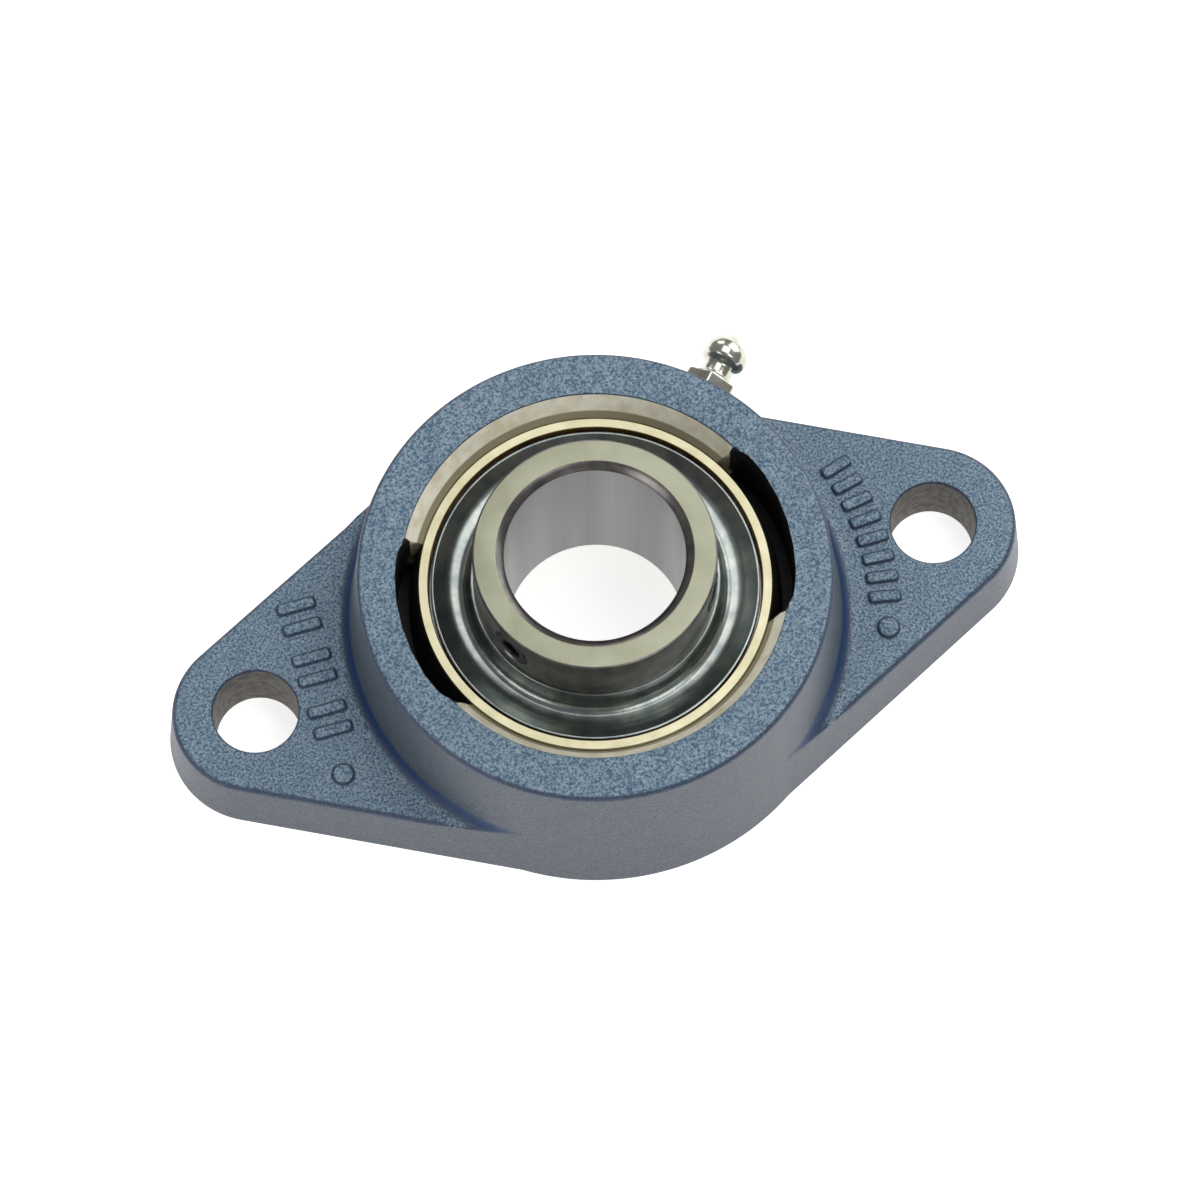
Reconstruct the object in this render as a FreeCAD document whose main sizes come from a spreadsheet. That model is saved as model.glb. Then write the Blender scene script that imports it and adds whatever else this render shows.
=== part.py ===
import FreeCAD, Part
import Sketcher
import math
import os

# Two-bolt flange mount bearing: an oval cast-iron housing with a spherical seat, and the
# wide-inner-ring ball bearing insert that aligns itself in it. Millimetres, +Z up.
# The origin is the centre of the mounting face; X runs through both bolt holes.

doc = FreeCAD.newDocument("flange_bearing")

# ---------------------------------------------------------------- driving dimensions
SIZES = {
    # housing
    "bolt_spacing": 99.0,
    "bolt_hole_radius": 6.0,
    "ear_radius": 12.6,
    "hub_radius": 35.4,
    "flange_thickness": 11.0,
    "housing_height": 27.8,
    "draft_angle": 5.0,
    "ear_fillet": 2.5,
    "hub_proud": 0.2,
    "edge_rounding": 0.9,
    "flare_radius": 26.85,
    "flare_foot_radius": 25.35,
    "flare_foot_height": 25.3,
    "seat_half_width": 8.3,
    "seat_clearance": 0.03,
    "relief_radius": 27.5,
    "relief_depth": 3.0,
    "slot_half_width": 12.4,
    "slot_radius": 27.7,
    # raised cast marks on the ears
    "mark_height": 0.5,
    "mark_width": 1.6,
    "bar_distance": 39.9,
    "bar_length": 5.4,
    "bar_gap": 3.2,
    "bar_pair_step": 8.0,
    "first_bar_height": 13.4,
    "dash_distance": 40.6,
    "dash_length": 4.4,
    "dash_first_angle": 17.0,
    "dash_step": 4.2,
    "dot_radius": 1.5,
    "mark_root": 1.0,
    # insert
    "sphere_radius": 26.0,
    "sphere_height": 15.9,
    "outer_ring_half_width": 8.5,
    "land_radius": 23.15,
    "land_depth": 3.6,
    "shoulder_radius": 22.0,
    "ball_radius": 3.969,
    "race_clearance": 0.05,
    "pitch_radius": 19.4,
    "bore_radius": 12.5,
    "inner_ring_radius": 16.85,
    "front_reach": 19.8,
    "rear_reach": 10.2,
    "bore_chamfer_width": 1.18,
    "bore_chamfer_depth": 0.75,
    "rim_chamfer": 0.28,
    "grub_radius": 3.0,
    "grub_clearance": 0.03,
    "grub_height": 31.0,
    "grub_length": 4.2,
    "grub_socket": 1.5,
    "grub_socket_depth": 2.2,
    "grub_cup_radius": 1.6,
    "cage_inner_radius": 17.5,
    "cage_outer_radius": 21.3,
    "cage_half_height": 4.5,
    "plate_inner_radius": 18.9,
    "plate_offset": 4.9,
    "plate_thickness": 0.6,
    "plate_fold": 0.6,
    "lip_gap": 0.06,
    "flinger_thickness": 0.4,
    "flinger_rim_gap": 0.3,
    "flinger_front_reach": 10.2,
    "flinger_rear_reach": 9.8,
    # lubrication
    "nipple_angle": 47.0,
    "nipple_height": 18.0,
    "spotface_distance": 33.3,
    "spotface_radius": 4.6,
    "thread_radius": 3.0,
    "thread_depth": 5.6,
    "duct_radius": 1.25,
    "groove_height": 19.6,
    "groove_half_width": 1.5,
    "groove_depth": 0.9,
    "oil_hole_radius": 0.8,
    "oil_hole_height": 20.2,
    "hex_radius": 4.04,
    "hex_height": 3.4,
    "nipple_collar_radius": 3.4,
    "nipple_neck_radius": 2.2,
    "nipple_head_radius": 3.25,
    "nipple_tip_radius": 1.5,
    "nipple_hole_radius": 0.75,
    "nipple_bore_radius": 1.25,
    "spring_wire_radius": 0.17,
    "spring_coil_radius": 0.9,
    "spring_pitch": 1.15,
    "spring_height": 9.8,
    "check_ball_radius": 1.1,
}

BALLS = 9
GRUB_ANGLES = (-30.0, -150.0)

sheet = doc.addObject("Spreadsheet::Sheet", "sizes")
for row, (alias, number) in enumerate(SIZES.items(), start=1):
    sheet.set(f"A{row}", alias)
    sheet.set(f"B{row}", str(number))
    sheet.setAlias(f"B{row}", alias)
doc.recompute()

DIRECTION_Z = FreeCAD.Vector(0, 0, 1)
pieces = []


def size(alias):
    """The number in a cell of the sheet."""
    return float(sheet.get(alias))


# ---------------------------------------------------------------- helpers
def new_body(label):
    """An empty body that becomes one sub-part."""
    body = doc.addObject("PartDesign::Body", label)
    body.Label = label
    pieces.append(body)
    return body


def new_sketch(body, name, role, offset=None):
    """A sketch on one of the body's own origin planes; offset names its height in the sheet."""
    sketch = body.newObject("Sketcher::SketchObject", name)
    planes = [item for item in body.Origin.OriginFeatures if item.Role == role]
    sketch.AttachmentSupport = [(planes[0], "")]
    sketch.MapMode = "FlatFace"
    if offset:
        sketch.setExpression("AttachmentOffset.Base.z", offset)
    return sketch


def bind(sketch, kind, arguments, expression):
    """Add one dimension to a sketch and bind it to an expression."""
    number = sketch.addConstraint(Sketcher.Constraint(kind, *arguments))
    sketch.setExpression(f"Constraints[{number}]", expression)


def closed_outline(sketch, corners):
    """Straight-sided outline; both coordinates of every corner are bound to expressions."""
    count = len(corners)
    spots = []
    for index in range(count):
        turn = 2 * math.pi * index / count
        spots.append(FreeCAD.Vector(30 + 5 * math.cos(turn), 30 + 5 * math.sin(turn), 0))
    for index in range(count):
        sketch.addGeometry(Part.LineSegment(spots[index], spots[(index + 1) % count]), False)
    for index in range(count):
        after = (index + 1) % count
        sketch.addConstraint(Sketcher.Constraint("Coincident", index, 2, after, 1))
    for index, (across, up) in enumerate(corners):
        bind(sketch, "DistanceX", (-1, 1, index, 1, spots[index].x), across)
        bind(sketch, "DistanceY", (-1, 1, index, 1, spots[index].y), up)


def revolved(body, name, corners, kind="PartDesign::Revolution"):
    """Turn a straight-sided outline of (radius, height) corners about the body's Z axis."""
    sketch = new_sketch(body, name + "_profile", "XZ_Plane")
    closed_outline(sketch, corners)
    feature = body.newObject(kind, name)
    feature.Profile = sketch
    feature.ReferenceAxis = (sketch, ["V_Axis"])
    feature.Angle = 360
    body.Tip = feature
    doc.recompute()
    return feature


def circle_groove(body, name, radius_to_centre, height, radius):
    """Cut a groove of round section, centred at a radius and a height, right round the body."""
    sketch = new_sketch(body, name + "_profile", "XZ_Plane")
    middle = FreeCAD.Vector(20, 16, 0)
    sketch.addGeometry(Part.Circle(middle, DIRECTION_Z, 4), False)
    bind(sketch, "DistanceX", (-1, 1, 0, 3, middle.x), radius_to_centre)
    bind(sketch, "DistanceY", (-1, 1, 0, 3, middle.y), height)
    bind(sketch, "Radius", (0, 4), radius)
    groove = body.newObject("PartDesign::Groove", name)
    groove.Profile = sketch
    groove.ReferenceAxis = (sketch, ["V_Axis"])
    groove.Angle = 360
    body.Tip = groove
    doc.recompute()


def radial_rotation(degrees):
    """A turn that lays local Z outwards along the radius at this angle about Z."""
    turn = math.radians(degrees)
    outwards = FreeCAD.Vector(math.cos(turn), math.sin(turn), 0)
    return FreeCAD.Rotation(DIRECTION_Z, outwards)


def radial_hole(body, name, degrees, start, height, radius, length):
    """Drill a round hole outwards along a radius, from the radius start to start + length."""
    hole = body.newObject("PartDesign::SubtractiveCylinder", name)
    turn = math.radians(degrees)
    hole.Placement = FreeCAD.Placement(FreeCAD.Vector(0, 0, 0), radial_rotation(degrees))
    hole.setExpression("Placement.Base.x", f"({start}) * {math.cos(turn):.9f}")
    hole.setExpression("Placement.Base.y", f"({start}) * {math.sin(turn):.9f}")
    hole.setExpression("Placement.Base.z", height)
    hole.setExpression("Radius", radius)
    hole.setExpression("Height", length)
    body.Tip = hole
    doc.recompute()


def edges_where(shape, test):
    """Names of a shape's edges whose bounding box passes a test."""
    names = []
    for index, edge in enumerate(shape.Edges, start=1):
        if test(edge, edge.BoundBox):
            names.append(f"Edge{index}")
    return names


# ---------------------------------------------------------------- housing
def flange_outline(sketch):
    """The oval: two ear arcs and two hub arcs joined by four tangent lines."""
    half = size("bolt_spacing") / 2
    ear = size("ear_radius")
    hub = size("hub_radius") - size("hub_proud")
    tilt = math.acos((hub - ear) / half)
    lean = FreeCAD.Vector(math.cos(tilt), math.sin(tilt), 0)
    ear_spot = FreeCAD.Vector(half, 0, 0)
    centre = FreeCAD.Vector(0, 0, 0)

    def on(middle, radius, flip_x, flip_y):
        return FreeCAD.Vector(flip_x * (middle.x + radius * lean.x), flip_y * radius * lean.y, 0)

    arc = Part.ArcOfCircle
    circle = Part.Circle
    ear_right = circle(ear_spot, DIRECTION_Z, ear)
    ear_left = circle(-ear_spot, DIRECTION_Z, ear)
    hub_round = circle(centre, DIRECTION_Z, hub)
    items = [
        arc(ear_right, -tilt, tilt),
        Part.LineSegment(on(ear_spot, ear, 1, 1), on(centre, hub, 1, 1)),
        arc(hub_round, tilt, math.pi - tilt),
        Part.LineSegment(on(centre, hub, -1, 1), on(ear_spot, ear, -1, 1)),
        arc(ear_left, math.pi - tilt, math.pi + tilt),
        Part.LineSegment(on(ear_spot, ear, -1, -1), on(centre, hub, -1, -1)),
        arc(hub_round, math.pi + tilt, 2 * math.pi - tilt),
        Part.LineSegment(on(centre, hub, 1, -1), on(ear_spot, ear, 1, -1)),
    ]
    for item in items:
        sketch.addGeometry(item, False)
    for index in range(8):
        sketch.addConstraint(Sketcher.Constraint("Tangent", index, 2, (index + 1) % 8, 1))
    sketch.addConstraint(Sketcher.Constraint("Coincident", 2, 3, -1, 1))
    sketch.addConstraint(Sketcher.Constraint("Coincident", 6, 3, -1, 1))
    sketch.addConstraint(Sketcher.Constraint("PointOnObject", 0, 3, -1))
    sketch.addConstraint(Sketcher.Constraint("PointOnObject", 4, 3, -1))
    bind(sketch, "DistanceX", (-1, 1, 0, 3, half), "sizes.bolt_spacing / 2")
    bind(sketch, "DistanceX", (4, 3, -1, 1, half), "sizes.bolt_spacing / 2")
    bind(sketch, "Radius", (0, ear), "sizes.ear_radius")
    bind(sketch, "Radius", (4, ear), "sizes.ear_radius")
    bind(sketch, "Radius", (2, hub), "sizes.hub_radius - sizes.hub_proud")
    bind(sketch, "Radius", (6, hub), "sizes.hub_radius - sizes.hub_proud")


def cast_block(body, name, x, y, length, width, degrees):
    """One raised block on an ear's top face, turned in plan, standing on the flange."""
    block = body.newObject("PartDesign::AdditiveBox", name)
    turn = FreeCAD.Rotation(DIRECTION_Z, degrees)
    corner = turn.multVec(FreeCAD.Vector(-length / 2, -width / 2, 0))
    block.Placement = FreeCAD.Placement(FreeCAD.Vector(x + corner.x, y + corner.y, 0), turn)
    block.setExpression("Placement.Base.z", "sizes.flange_thickness - sizes.mark_root")
    block.Length = length
    block.Width = width
    block.setExpression("Height", "sizes.mark_height + sizes.mark_root")
    body.Tip = block
    doc.recompute()


def cast_dot(body, name, x, y):
    """One raised round dot on an ear's top face."""
    dot = body.newObject("PartDesign::AdditiveCylinder", name)
    dot.Placement.Base = FreeCAD.Vector(x, y, 0)
    dot.setExpression("Placement.Base.z", "sizes.flange_thickness - sizes.mark_root")
    dot.setExpression("Radius", "sizes.dot_radius")
    dot.setExpression("Height", "sizes.mark_height + sizes.mark_root")
    body.Tip = dot
    doc.recompute()


def cast_marks(body):
    """Plain raised marks: three pairs of bars on the left ear, an arc of blocks on the right."""
    width = size("mark_width")
    for index in range(6):
        pair, second = divmod(index, 2)
        y = size("first_bar_height") - size("bar_pair_step") * pair - size("bar_gap") * second
        cast_block(body, f"bar_{index + 1}", -size("bar_distance"), y, size("bar_length"), width, 0.0)
    distance = size("dash_distance")
    for index in range(8):
        degrees = size("dash_first_angle") - size("dash_step") * index
        turn = math.radians(degrees)
        cast_block(body, f"dash_{index + 1}", distance * math.cos(turn), distance * math.sin(turn),
                   size("dash_length"), width, degrees)
    cast_dot(body, "left_dot", -40.3, -12.5)
    cast_dot(body, "right_dot", 38.8, -13.3)


def make_housing():
    """Cast housing: drafted oval flange, drafted hub, coves, seat, slots and drilled holes."""
    body = new_body("housing")
    outline = new_sketch(body, "flange_outline", "XY_Plane")
    flange_outline(outline)
    flange = body.newObject("PartDesign::Pad", "flange")
    flange.Profile = outline
    flange.setExpression("Length", "sizes.flange_thickness + sizes.ear_fillet")
    flange.setExpression("TaperAngle", "-sizes.draft_angle")
    body.Tip = flange
    doc.recompute()

    # the ears' flat tops, cut down to the flange thickness outside the hub's cove
    wall = "sizes.hub_radius - sizes.flange_thickness * tan(sizes.draft_angle)"
    revolved(body, "ear_tops", [
        (f"{wall} + sizes.ear_fillet", "sizes.flange_thickness"),
        ("sizes.bolt_spacing", "sizes.flange_thickness"),
        ("sizes.bolt_spacing", "sizes.housing_height"),
        (f"{wall} + sizes.ear_fillet", "sizes.housing_height"),
    ], "PartDesign::Groove")
    cove = new_sketch(body, "cove_profile", "XZ_Plane")
    middle = FreeCAD.Vector(38, 15, 0)
    cove.addGeometry(Part.Circle(middle, DIRECTION_Z, 4), False)
    bind(cove, "DistanceX", (-1, 1, 0, 3, middle.x), f"{wall} + sizes.ear_fillet")
    bind(cove, "DistanceY", (-1, 1, 0, 3, middle.y), "sizes.flange_thickness + sizes.ear_fillet")
    bind(cove, "Radius", (0, 4), "sizes.ear_fillet")
    cut = body.newObject("PartDesign::Groove", "cove")
    cut.Profile = cove
    cut.ReferenceAxis = (cove, ["V_Axis"])
    cut.Angle = 360
    body.Tip = cut
    doc.recompute()

    top = "sizes.hub_radius - sizes.housing_height * tan(sizes.draft_angle)"
    hub = revolved(body, "hub", [
        ("0", "0"),
        ("sizes.hub_radius", "0"),
        (f"{top}", "sizes.housing_height"),
        ("0", "sizes.housing_height"),
    ])
    rim = size("housing_height")
    names = edges_where(
        hub.Shape, lambda edge, box: box.ZMin > rim - 0.01 and box.XMax - box.XMin > 60
    )
    rounding = body.newObject("PartDesign::Fillet", "hub_rounding")
    rounding.Base = (hub, names)
    rounding.setExpression("Radius", "sizes.edge_rounding")
    body.Tip = rounding
    doc.recompute()

    cast_marks(body)

    # the spherical seat, the flare above it and the relief below it
    seat = body.newObject("PartDesign::SubtractiveSphere", "seat")
    seat.setExpression("Radius", "sizes.sphere_radius + sizes.seat_clearance")
    lift = "asin(sizes.seat_half_width / (sizes.sphere_radius + sizes.seat_clearance))"
    seat.setExpression("Angle1", f"-{lift}")
    seat.setExpression("Angle2", lift)
    seat.Angle3 = 360
    seat.setExpression("Placement.Base.z", "sizes.sphere_height")
    body.Tip = seat
    doc.recompute()
    mouth = "sqrt((sizes.sphere_radius + sizes.seat_clearance)^2 - sizes.seat_half_width^2)"
    revolved(body, "flare", [
        ("0", "sizes.sphere_height + sizes.seat_half_width - 0.1"),
        (mouth, "sizes.sphere_height + sizes.seat_half_width - 0.1"),
        ("sizes.flare_foot_radius", "sizes.flare_foot_height"),
        ("sizes.flare_radius", "sizes.housing_height + 0.1"),
        ("0", "sizes.housing_height + 0.1"),
    ], "PartDesign::Groove")
    revolved(body, "relief", [
        ("0", "sizes.sphere_height - sizes.seat_half_width + 0.1"),
        (mouth, "sizes.sphere_height - sizes.seat_half_width + 0.1"),
        ("sizes.relief_radius", "sizes.relief_depth"),
        ("sizes.relief_radius", "-1"),
        ("0", "-1"),
    ], "PartDesign::Groove")
    revolved(body, "grease_groove", [
        ("sizes.sphere_radius - 2", "sizes.groove_height - sizes.groove_half_width"),
        ("sizes.sphere_radius + sizes.groove_depth", "sizes.groove_height - sizes.groove_half_width"),
        ("sizes.sphere_radius + sizes.groove_depth", "sizes.groove_height + sizes.groove_half_width"),
        ("sizes.sphere_radius - 2", "sizes.groove_height + sizes.groove_half_width"),
    ], "PartDesign::Groove")

    # the two filling slots, cut down to the middle of the seat in one pocket
    slots = new_sketch(body, "slot_outline", "XY_Plane", "sizes.housing_height")
    reach = size("slot_radius")
    half = size("slot_half_width")
    swing = math.asin(half / reach)
    across = reach * math.cos(swing)
    round_wall = Part.Circle(FreeCAD.Vector(0, 0, 0), DIRECTION_Z, reach)
    slots.addGeometry(Part.ArcOfCircle(round_wall, -swing, swing), False)
    slots.addGeometry(
        Part.LineSegment(FreeCAD.Vector(across, half, 0), FreeCAD.Vector(-across, half, 0)), False)
    slots.addGeometry(Part.ArcOfCircle(round_wall, math.pi - swing, math.pi + swing), False)
    slots.addGeometry(
        Part.LineSegment(FreeCAD.Vector(-across, -half, 0), FreeCAD.Vector(across, -half, 0)), False)
    for index in range(4):
        slots.addConstraint(Sketcher.Constraint("Coincident", index, 2, (index + 1) % 4, 1))
    slots.addConstraint(Sketcher.Constraint("Coincident", 0, 3, -1, 1))
    slots.addConstraint(Sketcher.Constraint("Coincident", 2, 3, -1, 1))
    slots.addConstraint(Sketcher.Constraint("Horizontal", 1))
    slots.addConstraint(Sketcher.Constraint("Horizontal", 3))
    bind(slots, "Radius", (0, reach), "sizes.slot_radius")
    bind(slots, "Radius", (2, reach), "sizes.slot_radius")
    bind(slots, "DistanceY", (-1, 1, 0, 2, half), "sizes.slot_half_width")
    bind(slots, "DistanceY", (0, 1, -1, 1, half), "sizes.slot_half_width")
    pocket = body.newObject("PartDesign::Pocket", "filling_slots")
    pocket.Profile = slots
    pocket.setExpression("Length", "sizes.housing_height - sizes.sphere_height")
    body.Tip = pocket
    doc.recompute()

    # bolt holes
    holes = new_sketch(body, "bolt_circles", "XY_Plane")
    for index, side in enumerate((1, -1)):
        spot = FreeCAD.Vector(side * size("bolt_spacing") / 2, 0, 0)
        holes.addGeometry(Part.Circle(spot, DIRECTION_Z, size("bolt_hole_radius")), False)
        holes.addConstraint(Sketcher.Constraint("PointOnObject", index, 3, -1))
        bind(holes, "DistanceX", (-1, 1, index, 3, spot.x), f"{side} * sizes.bolt_spacing / 2")
        bind(holes, "Radius", (index, size("bolt_hole_radius")), "sizes.bolt_hole_radius")
    bolts = body.newObject("PartDesign::Pocket", "bolt_holes")
    bolts.Profile = holes
    bolts.Type = "ThroughAll"
    bolts.Reversed = True
    body.Tip = bolts
    doc.recompute()

    # the grease nipple's spot face, its thread and the duct to the seat's groove
    angle = size("nipple_angle")
    radial_hole(body, "spot_face", angle, "sizes.spotface_distance", "sizes.nipple_height",
                "sizes.spotface_radius", "5")
    radial_hole(body, "nipple_thread", angle, "sizes.spotface_distance - sizes.thread_depth",
                "sizes.nipple_height", "sizes.thread_radius", "sizes.thread_depth + 1")
    radial_hole(body, "grease_duct", angle, "sizes.sphere_radius - 2", "sizes.nipple_height",
                "sizes.duct_radius", "sizes.spotface_distance - sizes.sphere_radius")
    return body


# ---------------------------------------------------------------- outer ring and seals
def make_outer_ring():
    """Ring with a spherical outside, a race inside and an oil hole beside the race."""
    body = new_body("outer_ring")
    ball = body.newObject("PartDesign::AdditiveSphere", "sphere")
    ball.setExpression("Radius", "sizes.sphere_radius")
    lift = "asin(sizes.outer_ring_half_width / sizes.sphere_radius)"
    ball.setExpression("Angle1", f"-{lift}")
    ball.setExpression("Angle2", lift)
    ball.Angle3 = 360
    ball.setExpression("Placement.Base.z", "sizes.sphere_height")
    body.Tip = ball
    doc.recompute()
    low = "sizes.sphere_height - sizes.outer_ring_half_width"
    high = "sizes.sphere_height + sizes.outer_ring_half_width"
    revolved(body, "bore", [
        ("0", f"{low} - 1"),
        ("sizes.land_radius", f"{low} - 1"),
        ("sizes.land_radius", f"{low} + sizes.land_depth"),
        ("sizes.shoulder_radius", f"{low} + sizes.land_depth"),
        ("sizes.shoulder_radius", f"{high} - sizes.land_depth"),
        ("sizes.land_radius", f"{high} - sizes.land_depth"),
        ("sizes.land_radius", f"{high} + 1"),
        ("0", f"{high} + 1"),
    ], "PartDesign::Groove")
    circle_groove(body, "race", "sizes.pitch_radius", "sizes.sphere_height",
                  "sizes.ball_radius + sizes.race_clearance")
    radial_hole(body, "oil_hole", size("nipple_angle"), "sizes.shoulder_radius - 1",
                "sizes.oil_hole_height", "sizes.oil_hole_radius", "6")


def make_seal(side, sign):
    """One contact seal: a pressed steel plate and the rubber lip bonded to its inner edge."""
    near = f"sizes.sphere_height + {sign} * sizes.plate_offset"
    far = f"{near} + {sign} * sizes.plate_thickness"
    plate = new_body(f"{side}_seal_plate")
    revolved(plate, f"{side}_disc", [
        ("sizes.plate_inner_radius", near),
        ("sizes.land_radius - 0.02", near),
        ("sizes.land_radius - 0.02", f"{far} + {sign} * sizes.plate_fold"),
        ("sizes.land_radius - sizes.plate_fold", f"{far} + {sign} * sizes.plate_fold"),
        ("sizes.land_radius - sizes.plate_fold", far),
        ("sizes.plate_inner_radius", far),
    ])
    lip = new_body(f"{side}_seal_lip")
    revolved(lip, f"{side}_rubber", [
        ("sizes.inner_ring_radius + sizes.lip_gap", f"{near} - {sign} * 0.05"),
        ("sizes.inner_ring_radius + 0.4", f"{near} + {sign} * 0.1"),
        ("sizes.plate_inner_radius - 0.01", near),
        ("sizes.plate_inner_radius - 0.01", far),
        ("sizes.inner_ring_radius + 0.9", far),
    ])


# ---------------------------------------------------------------- inner ring and what turns with it
def make_inner_ring():
    """Wide ring, longer towards the front, with a race and two threaded holes for grub screws."""
    body = new_body("inner_ring")
    low = "sizes.sphere_height - sizes.rear_reach"
    high = "sizes.sphere_height + sizes.front_reach"
    inside = "sizes.bore_radius"
    outside = "sizes.inner_ring_radius"
    revolved(body, "ring", [
        (inside, f"{low} + sizes.bore_chamfer_depth"),
        (f"{inside} + sizes.bore_chamfer_width", low),
        (f"{outside} - sizes.rim_chamfer", low),
        (outside, f"{low} + sizes.rim_chamfer"),
        (outside, f"{high} - sizes.rim_chamfer"),
        (f"{outside} - sizes.rim_chamfer", high),
        (f"{inside} + sizes.bore_chamfer_width", high),
        (inside, f"{high} - sizes.bore_chamfer_depth"),
    ])
    circle_groove(body, "inner_race", "sizes.pitch_radius", "sizes.sphere_height",
                  "sizes.ball_radius + sizes.race_clearance")
    for index, angle in enumerate(GRUB_ANGLES, start=1):
        radial_hole(body, f"grub_thread_{index}", angle, "sizes.bore_radius - 1",
                    "sizes.grub_height", "sizes.grub_radius", "6")


def make_flinger(side, sign):
    """Dished steel disc pressed on the inner ring; it throws dirt off and shields the seal."""
    body = new_body(f"{side}_flinger")

    def spot(radius, offset):
        return (radius, f"sizes.sphere_height + {sign} * ({offset})")

    reach = f"sizes.flinger_{side}_reach"
    rim = "sizes.land_radius - sizes.flinger_rim_gap"
    skin = "sizes.flinger_thickness"
    hold = "sizes.inner_ring_radius + 0.01"
    revolved(body, f"{side}_dish", [
        spot(hold, reach),
        spot(f"{hold} + {skin}", reach),
        spot("17.5", "8.2"),
        spot("17.9", "7.2"),
        spot("18.7", "6.7"),
        spot("20.3", "6.7"),
        spot("22.3", "7.9"),
        spot(rim, "7.9"),
        spot(rim, "7.3"),
        spot("22.45", "7.4"),
        spot("20.5", "6.3"),
        spot("18.5", "6.3"),
        spot("17.5", "6.85"),
        spot(hold, "7.9"),
    ])


def make_grub_screw(index, angle):
    """Socket set screw, flush with the inner ring's outside and short of the bore."""
    body = new_body(f"grub_screw_{index}")
    turn = math.radians(angle)
    body.Placement = FreeCAD.Placement(FreeCAD.Vector(0, 0, 0), radial_rotation(angle))
    start = "sizes.inner_ring_radius - sizes.grub_length - 0.05"
    body.setExpression("Placement.Base.x", f"({start}) * {math.cos(turn):.9f}")
    body.setExpression("Placement.Base.y", f"({start}) * {math.sin(turn):.9f}")
    body.setExpression("Placement.Base.z", "sizes.grub_height")
    outside = "sizes.grub_radius - sizes.grub_clearance"
    revolved(body, f"screw_{index}", [
        ("0", "0.5"),
        ("sizes.grub_cup_radius", "0"),
        ("sizes.grub_cup_radius + 0.6", "0"),
        (outside, "0.7"),
        (outside, "sizes.grub_length - 0.3"),
        (f"{outside} - 0.3", "sizes.grub_length"),
        ("0", "sizes.grub_length"),
    ])
    socket = new_sketch(body, f"socket_{index}", "XY_Plane", "sizes.grub_length")
    six_sides(socket, "sizes.grub_socket / cos(30)")
    pocket = body.newObject("PartDesign::Pocket", f"hex_socket_{index}")
    pocket.Profile = socket
    pocket.setExpression("Length", "sizes.grub_socket_depth")
    body.Tip = pocket
    doc.recompute()


def six_sides(sketch, corner_radius):
    """Regular hexagon about the sketch's origin, with its corners' radius bound."""
    corners = []
    for index in range(6):
        turn = math.radians(60 * index)
        corners.append((f"({corner_radius}) * {math.cos(turn):.9f}",
                        f"({corner_radius}) * {math.sin(turn):.9f}"))
    closed_outline(sketch, corners)


# ---------------------------------------------------------------- balls and cage
def make_cage():
    """Ring between the races with one round pocket for each ball."""
    body = new_body("cage")
    revolved(body, "cage_ring", [
        ("sizes.cage_inner_radius", "sizes.sphere_height - sizes.cage_half_height"),
        ("sizes.cage_outer_radius", "sizes.sphere_height - sizes.cage_half_height"),
        ("sizes.cage_outer_radius", "sizes.sphere_height + sizes.cage_half_height"),
        ("sizes.cage_inner_radius", "sizes.sphere_height + sizes.cage_half_height"),
    ])
    radial_hole(body, "ball_pocket", 0, "sizes.cage_inner_radius - 2", "sizes.sphere_height",
                "sizes.ball_radius + sizes.race_clearance + 0.03", "8")
    pocket = body.Tip
    around = body.newObject("PartDesign::PolarPattern", "ball_pockets")
    around.Originals = [pocket]
    axes = [item for item in body.Origin.OriginFeatures if item.Role == "Z_Axis"]
    around.Axis = (axes[0], [""])
    around.Angle = 360
    around.Occurrences = BALLS
    body.Tip = around
    doc.recompute()


def make_balls():
    """The balls, evenly spaced on the pitch circle."""
    for index in range(BALLS):
        ball = doc.addObject("Part::Sphere", f"ball_{index + 1}")
        ball.Label = f"ball_{index + 1}"
        turn = 2 * math.pi * index / BALLS
        ball.setExpression("Radius", "sizes.ball_radius")
        ball.setExpression("Placement.Base.x", f"sizes.pitch_radius * {math.cos(turn):.9f}")
        ball.setExpression("Placement.Base.y", f"sizes.pitch_radius * {math.sin(turn):.9f}")
        ball.setExpression("Placement.Base.z", "sizes.sphere_height")
        pieces.append(ball)


# ---------------------------------------------------------------- grease nipple
def place_on_nipple_axis(body, start):
    """Lay a body's Z along the nipple's axis, with its origin at a radius from the bearing axis."""
    angle = size("nipple_angle")
    turn = math.radians(angle)
    body.Placement = FreeCAD.Placement(FreeCAD.Vector(0, 0, 0), radial_rotation(angle))
    body.setExpression("Placement.Base.x", f"({start}) * {math.cos(turn):.9f}")
    body.setExpression("Placement.Base.y", f"({start}) * {math.sin(turn):.9f}")
    body.setExpression("Placement.Base.z", "sizes.nipple_height")


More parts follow.
